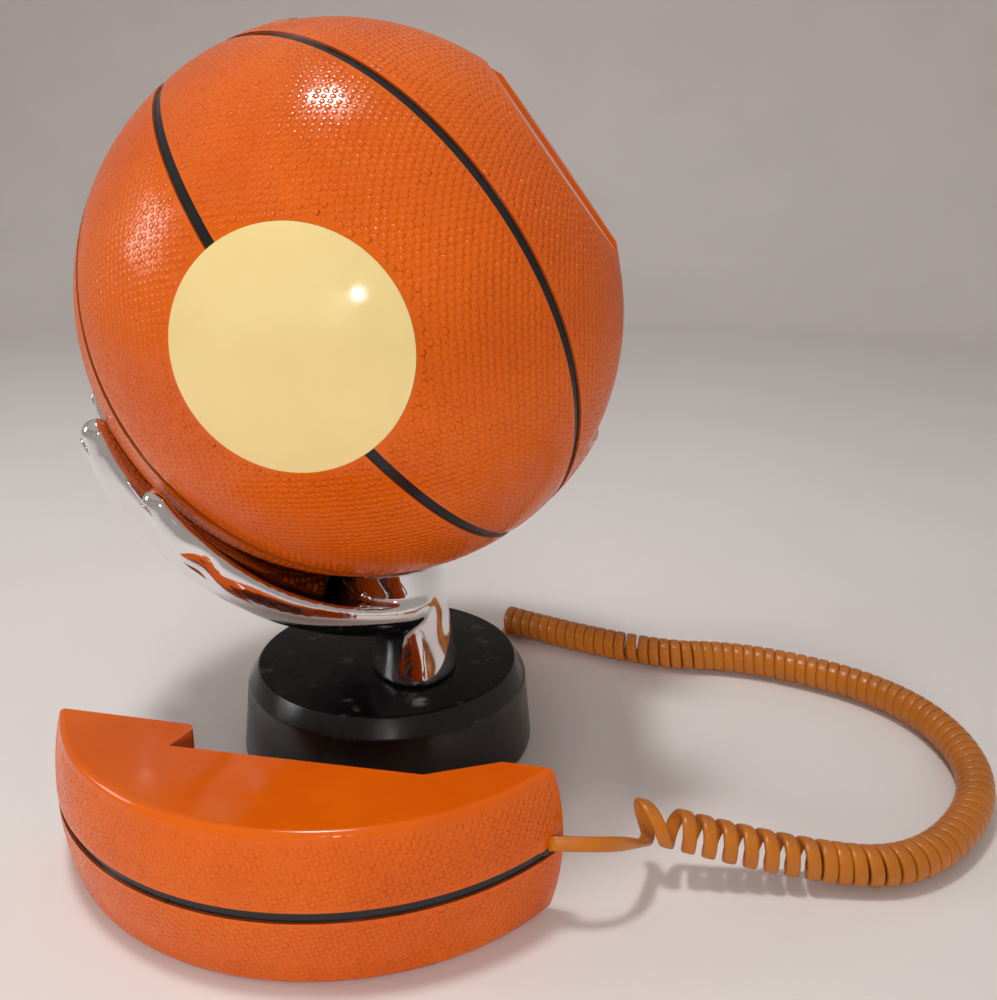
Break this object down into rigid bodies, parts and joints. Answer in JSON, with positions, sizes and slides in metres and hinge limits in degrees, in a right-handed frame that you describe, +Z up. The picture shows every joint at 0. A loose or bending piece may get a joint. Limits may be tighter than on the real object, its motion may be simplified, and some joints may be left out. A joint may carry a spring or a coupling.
{
  "type": "novelty ball telephone",
  "caption": "Telephone shaped as a ball held up by a chrome hand on a round base, with a slice of the ball as the push-button handset on a curly cord.",
  "frame": {"origin": "on the round base's axis, at the level of the table under its rubber foot", "axes": "+Z up, -Y to the front, where the badge faces and the handset lies, +X to the right"},
  "size_m": [0.3318, 0.2364, 0.2617],
  "materials": {
    "ball_plastic": "glossy orange moulded plastic, pebbled outside",
    "badge_plastic": "smooth glossy cream plastic, bare",
    "hand_chrome": "bright chrome plating",
    "base_plastic": "glossy black plastic with light scuffs",
    "weight_iron": "bare cast iron",
    "black_rubber": "matt black rubber",
    "cord_plastic": "amber orange flexible plastic",
    "circuit_board": "green circuit board",
    "mat_rubber": "grey silicone rubber",
    "works_plastic": "matt black plastic",
    "key_plastic": "black plastic",
    "screw_steel": "plated steel"
  },
  "bodies": {
    "stand": {"badge_disc": "badge_plastic", "ball_board_screws": "screw_steel", "ball_circuit_board": "circuit_board", "ball_front_shell": "ball_plastic", "ball_rear_shell": "ball_plastic", "ball_screws": "screw_steel", "base_bottom_plate": "base_plastic", "base_cord_gland": "black_rubber", "base_housing": "base_plastic", "base_screws": "screw_steel", "base_weight": "weight_iron", "cord_tail_base": "cord_plastic", "cord_tail_handset": "cord_plastic", "curly_cord": "cord_plastic", "hand": "hand_chrome", "handset_cradle": "ball_plastic", "hook_switch": "works_plastic", "line_jack": "works_plastic", "palm_screws": "screw_steel", "ringer": "works_plastic", "ringer_switch_body": "works_plastic", "rubber_foot": "black_rubber", "wrist_bolt": "screw_steel", "wrist_washer": "screw_steel"},
    "handset": {"handset_outer_shell": "ball_plastic", "handset_inner_cover": "ball_plastic", "receiver": "works_plastic", "microphone": "works_plastic", "keypad_mat": "mat_rubber", "handset_circuit_board": "circuit_board", "handset_board_screws": "screw_steel", "handset_screws": "screw_steel", "handset_cord_grommet": "cord_plastic", "tone_switch_body": "works_plastic"},
    "hook_plunger": {"hook_plunger": "key_plastic"},
    "ringer_switch_knob": {"ringer_switch_knob": "key_plastic"},
    "tone_switch_knob": {"tone_switch_knob": "key_plastic"},
    "key_0": {"key_0": "key_plastic"},
    "key_1": {"key_1": "key_plastic"},
    "key_2": {"key_2": "key_plastic"},
    "key_3": {"key_3": "key_plastic"},
    "key_4": {"key_4": "key_plastic"},
    "key_5": {"key_5": "key_plastic"},
    "key_6": {"key_6": "key_plastic"},
    "key_7": {"key_7": "key_plastic"},
    "key_8": {"key_8": "key_plastic"},
    "key_9": {"key_9": "key_plastic"},
    "key_hash": {"key_hash": "key_plastic"},
    "key_star": {"key_star": "key_plastic"}
  },
  "joints": [
    {"name": "handset_lift", "type": "slide", "parent": "stand", "child": "handset", "axis": [-0.2006, -0.5618, 0.8026], "range_m": [0, 0.12]},
    {"name": "hook_press", "type": "slide", "parent": "stand", "child": "hook_plunger", "axis": [-0.7812, 0.166, -0.6018], "range_m": [0, 0.0035], "stiffness_N_per_m": 300, "springref_m": -0.002},
    {"name": "ringer_switch_slide", "type": "slide", "parent": "stand", "child": "ringer_switch_knob", "axis": [-0.6428, -0.766, 0], "range_m": [0, 0.004]},
    {"name": "tone_switch_slide", "type": "slide", "parent": "handset", "child": "tone_switch_knob", "axis": [0, 0, -1], "range_m": [0, 0.003]},
    {"name": "key_0_press", "type": "slide", "parent": "handset", "child": "key_0", "axis": [-0.2892, -0.9573, 0], "range_m": [0, 0.001], "stiffness_N_per_m": 300, "springref_m": -0.001},
    {"name": "key_1_press", "type": "slide", "parent": "handset", "child": "key_1", "axis": [-0.2892, -0.9573, 0], "range_m": [0, 0.001], "stiffness_N_per_m": 300, "springref_m": -0.001},
    {"name": "key_2_press", "type": "slide", "parent": "handset", "child": "key_2", "axis": [-0.2892, -0.9573, 0], "range_m": [0, 0.001], "stiffness_N_per_m": 300, "springref_m": -0.001},
    {"name": "key_3_press", "type": "slide", "parent": "handset", "child": "key_3", "axis": [-0.2892, -0.9573, 0], "range_m": [0, 0.001], "stiffness_N_per_m": 300, "springref_m": -0.001},
    {"name": "key_4_press", "type": "slide", "parent": "handset", "child": "key_4", "axis": [-0.2892, -0.9573, 0], "range_m": [0, 0.001], "stiffness_N_per_m": 300, "springref_m": -0.001},
    {"name": "key_5_press", "type": "slide", "parent": "handset", "child": "key_5", "axis": [-0.2892, -0.9573, 0], "range_m": [0, 0.001], "stiffness_N_per_m": 300, "springref_m": -0.001},
    {"name": "key_6_press", "type": "slide", "parent": "handset", "child": "key_6", "axis": [-0.2892, -0.9573, 0], "range_m": [0, 0.001], "stiffness_N_per_m": 300, "springref_m": -0.001},
    {"name": "key_7_press", "type": "slide", "parent": "handset", "child": "key_7", "axis": [-0.2892, -0.9573, 0], "range_m": [0, 0.001], "stiffness_N_per_m": 300, "springref_m": -0.001},
    {"name": "key_8_press", "type": "slide", "parent": "handset", "child": "key_8", "axis": [-0.2892, -0.9573, 0], "range_m": [0, 0.001], "stiffness_N_per_m": 300, "springref_m": -0.001},
    {"name": "key_9_press", "type": "slide", "parent": "handset", "child": "key_9", "axis": [-0.2892, -0.9573, 0], "range_m": [0, 0.001], "stiffness_N_per_m": 300, "springref_m": -0.001},
    {"name": "key_hash_press", "type": "slide", "parent": "handset", "child": "key_hash", "axis": [-0.2892, -0.9573, 0], "range_m": [0, 0.001], "stiffness_N_per_m": 300, "springref_m": -0.001},
    {"name": "key_star_press", "type": "slide", "parent": "handset", "child": "key_star", "axis": [-0.2892, -0.9573, 0], "range_m": [0, 0.001], "stiffness_N_per_m": 300, "springref_m": -0.001}
  ]
}
